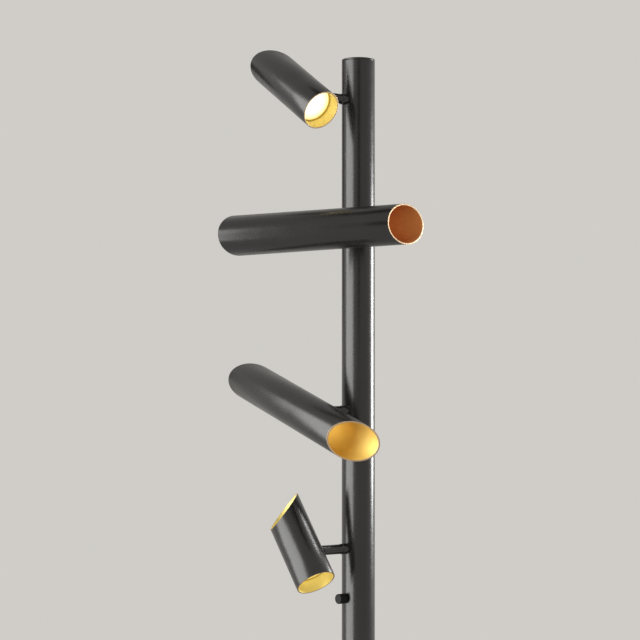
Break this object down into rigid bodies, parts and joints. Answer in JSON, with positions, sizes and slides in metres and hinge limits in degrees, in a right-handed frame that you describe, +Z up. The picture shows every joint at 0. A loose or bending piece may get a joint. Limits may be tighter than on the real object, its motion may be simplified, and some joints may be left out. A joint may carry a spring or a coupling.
{
  "type": "tree floor lamp",
  "caption": "Floor lamp: slim round pole on a weighted disc base, with tubular spot heads cut on the slant that turn on short level arms, and a knurled dimmer knob.",
  "frame": {"origin": "on the pole's axis at the floor, at the centre of the base pad's underside", "axes": "+Z up the pole; -Y along the arms of heads 1, 3 and 4; the arm of head 2 is turned 46 degrees from -Y towards +X"},
  "size_m": [0.3, 0.3866, 1.6592],
  "materials": {
    "pad_rubber": "matt ribbed rubber",
    "weight_steel": "plain cut steel",
    "black_paint": "satin black powder coat; head tubes satin gold inside and on their cut rims",
    "black_rubber": "soft black",
    "zinc_steel": "bright zinc",
    "plug_steel": "turned steel",
    "sink_aluminium": "plain cast and machined",
    "board_white": "white solder mask",
    "opal_plastic": "opal, lit",
    "gold_metal": "satin gold",
    "washer_nylon": "black nylon",
    "dimmer_black": "moulded black",
    "knob_black": "satin black, knurled",
    "driver_white": "moulded white",
    "wire_white": "sheathed wire"
  },
  "bodies": {
    "stand": {"arm_base_1": "black_paint", "arm_base_2": "black_paint", "arm_base_3": "black_paint", "arm_base_4": "black_paint", "base_cover": "black_paint", "base_nipple": "zinc_steel", "base_nut": "zinc_steel", "base_pad": "pad_rubber", "base_washer": "zinc_steel", "base_weight": "weight_steel", "cord_bushing": "black_rubber", "coupler_screws": "zinc_steel", "dimmer_body": "dimmer_black", "dimmer_nut": "zinc_steel", "friction_washers": "washer_nylon", "head_nuts": "zinc_steel", "led_driver": "driver_white", "lower_pole": "black_paint", "pivot_nipples": "zinc_steel", "pole_cap": "black_paint", "pole_coupler": "plug_steel", "pole_foot_plug": "plug_steel", "pole_nuts": "zinc_steel", "pole_wiring": "wire_white", "upper_pole": "black_paint"},
    "head_1": {"head_tube_1": "black_paint", "arm_swivel_1": "black_paint", "tube_seat_1": "plug_steel", "heat_sink_1": "sink_aluminium", "led_board_1": "board_white", "diffuser_1": "opal_plastic", "retaining_ring_1": "gold_metal", "baffle_1": "gold_metal"},
    "head_2": {"head_tube_2": "black_paint", "arm_swivel_2": "black_paint", "tube_seat_2": "plug_steel", "heat_sink_2": "sink_aluminium", "led_board_2": "board_white", "diffuser_2": "opal_plastic", "retaining_ring_2": "gold_metal", "baffle_2": "gold_metal"},
    "head_3": {"head_tube_3": "black_paint", "arm_swivel_3": "black_paint", "tube_seat_3": "plug_steel", "heat_sink_3": "sink_aluminium", "led_board_3": "board_white", "diffuser_3": "opal_plastic", "retaining_ring_3": "gold_metal", "baffle_3": "gold_metal"},
    "head_4": {"head_tube_4": "black_paint", "arm_swivel_4": "black_paint", "tube_seat_4": "plug_steel", "heat_sink_4": "sink_aluminium", "led_board_4": "board_white", "diffuser_4": "opal_plastic", "retaining_ring_4": "gold_metal", "baffle_4": "gold_metal"},
    "dimmer_turn": {"dimmer_shaft": "zinc_steel", "dimmer_knob": "knob_black"}
  },
  "joints": [
    {"name": "head_1_turn", "type": "hinge", "parent": "stand", "child": "head_1", "pos_m": [0, -0.108, 1.5875], "axis": [0, -1, 0], "range_deg": [-160, 160]},
    {"name": "head_2_turn", "type": "hinge", "parent": "stand", "child": "head_2", "pos_m": [0.07769, -0.07502, 1.387], "axis": [0.7193, -0.6947, 0], "range_deg": [-28, 40]},
    {"name": "head_3_turn", "type": "hinge", "parent": "stand", "child": "head_3", "pos_m": [0, -0.108, 1.1205], "axis": [0, -1, 0], "range_deg": [-28, 59]},
    {"name": "head_4_turn", "type": "hinge", "parent": "stand", "child": "head_4", "pos_m": [0, -0.108, 0.9135], "axis": [0, -1, 0], "range_deg": [-160, 160]},
    {"name": "dimmer_knob_turn", "type": "hinge", "parent": "stand", "child": "dimmer_turn", "pos_m": [0, -0.03, 0.839], "axis": [0, -1, 0], "range_deg": [0, 270]}
  ]
}
